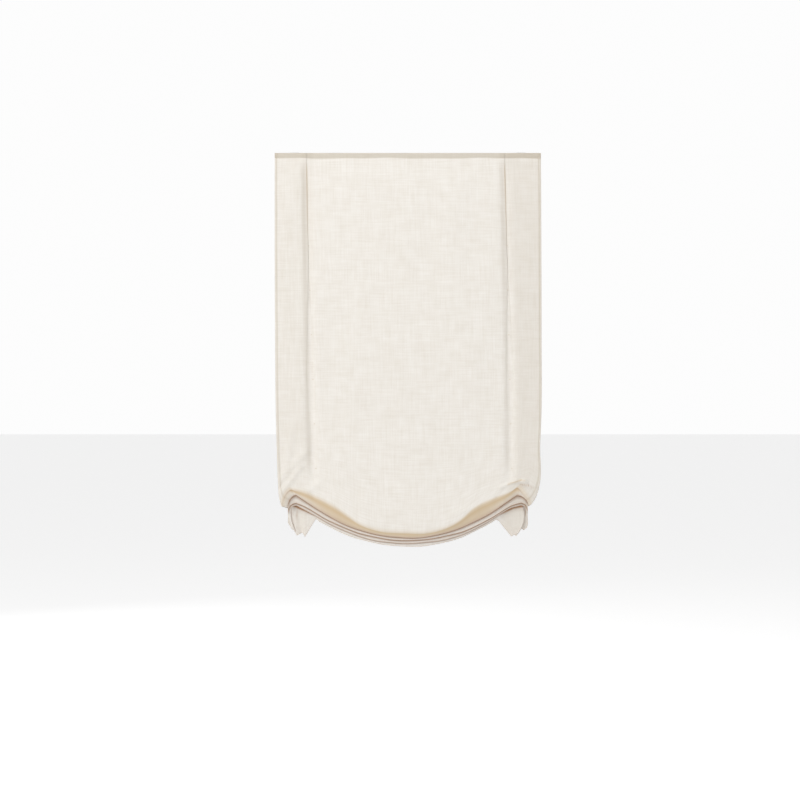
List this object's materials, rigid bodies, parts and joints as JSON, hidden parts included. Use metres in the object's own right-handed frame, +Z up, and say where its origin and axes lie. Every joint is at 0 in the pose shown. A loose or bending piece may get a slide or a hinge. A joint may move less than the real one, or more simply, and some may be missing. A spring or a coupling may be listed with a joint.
{
  "type": "relaxed roman shade",
  "caption": "Relaxed roman shade in ivory linen with inverted pleats, drawn part of the way up into a swag of folds with tails, on a cordless spring-lift headrail.",
  "frame": {"origin": "on the plane that the two brackets are screwed to, midway along the shade, straight above the face of the cloth", "axes": "+Z up towards the window head, +X along the headrail to the right as seen from the room, +Y away from the room towards the glass"},
  "size_m": [0.915, 0.0551, 1.3586],
  "materials": {
    "linen": "unlined slubby plain weave, matt",
    "tape": "woven hook and loop tape",
    "painted": "white baked enamel, satin",
    "plastic": "white moulded, fine grain",
    "clear": "milky moulded",
    "steel": "drawn, zinc plated",
    "spring": "tempered blue strip",
    "cord": "braided polyester"
  },
  "bodies": {
    "root": {"shade_fabric": "linen", "loop_tape": "tape", "hook_tape": "tape", "headrail": "painted", "motor_case": "plastic", "motor_cover": "plastic", "spring_band": "spring", "spreader_bar": "steel", "end_cap_left": "plastic", "bracket_left": "painted", "spool_cradle_left": "plastic", "lift_cord_left": "cord", "bar_cap_left": "plastic", "cord_adjuster_left": "plastic", "ring_left_1": "clear", "ring_left_2": "clear", "ring_left_3": "clear", "ring_left_4": "clear", "ring_left_5": "clear", "ring_left_6": "clear", "ring_left_7": "clear", "ring_left_8": "clear", "ring_left_9": "clear", "end_cap_right": "plastic", "bracket_right": "painted", "spool_cradle_right": "plastic", "lift_cord_right": "cord", "bar_cap_right": "plastic", "cord_adjuster_right": "plastic", "ring_right_1": "clear", "ring_right_2": "clear", "ring_right_3": "clear", "ring_right_4": "clear", "ring_right_5": "clear", "ring_right_6": "clear", "ring_right_7": "clear", "ring_right_8": "clear", "ring_right_9": "clear"},
    "lift_shaft_body": {"lift_shaft": "steel", "cord_spool_left": "plastic", "cord_spool_right": "plastic", "cord_winding_left": "cord", "cord_winding_right": "cord", "output_drum": "plastic"},
    "storage_drum_body": {"storage_drum": "plastic"}
  },
  "joints": [
    {"name": "lift_shaft_turn", "type": "hinge", "parent": "root", "child": "lift_shaft_body", "pos_m": [0, 0.01935, -0.0165], "axis": [1, 0, 0], "range_deg": [-4670, 2310]},
    {"name": "storage_drum_turn", "type": "hinge", "parent": "root", "child": "storage_drum_body", "pos_m": [0, 0.03485, -0.0165], "axis": [1, 0, 0], "range_deg": [-2200, 4430]}
  ],
  "couplings": [
    {"joint": "storage_drum_turn", "follows": "lift_shaft_turn", "ratio": -0.9474}
  ]
}
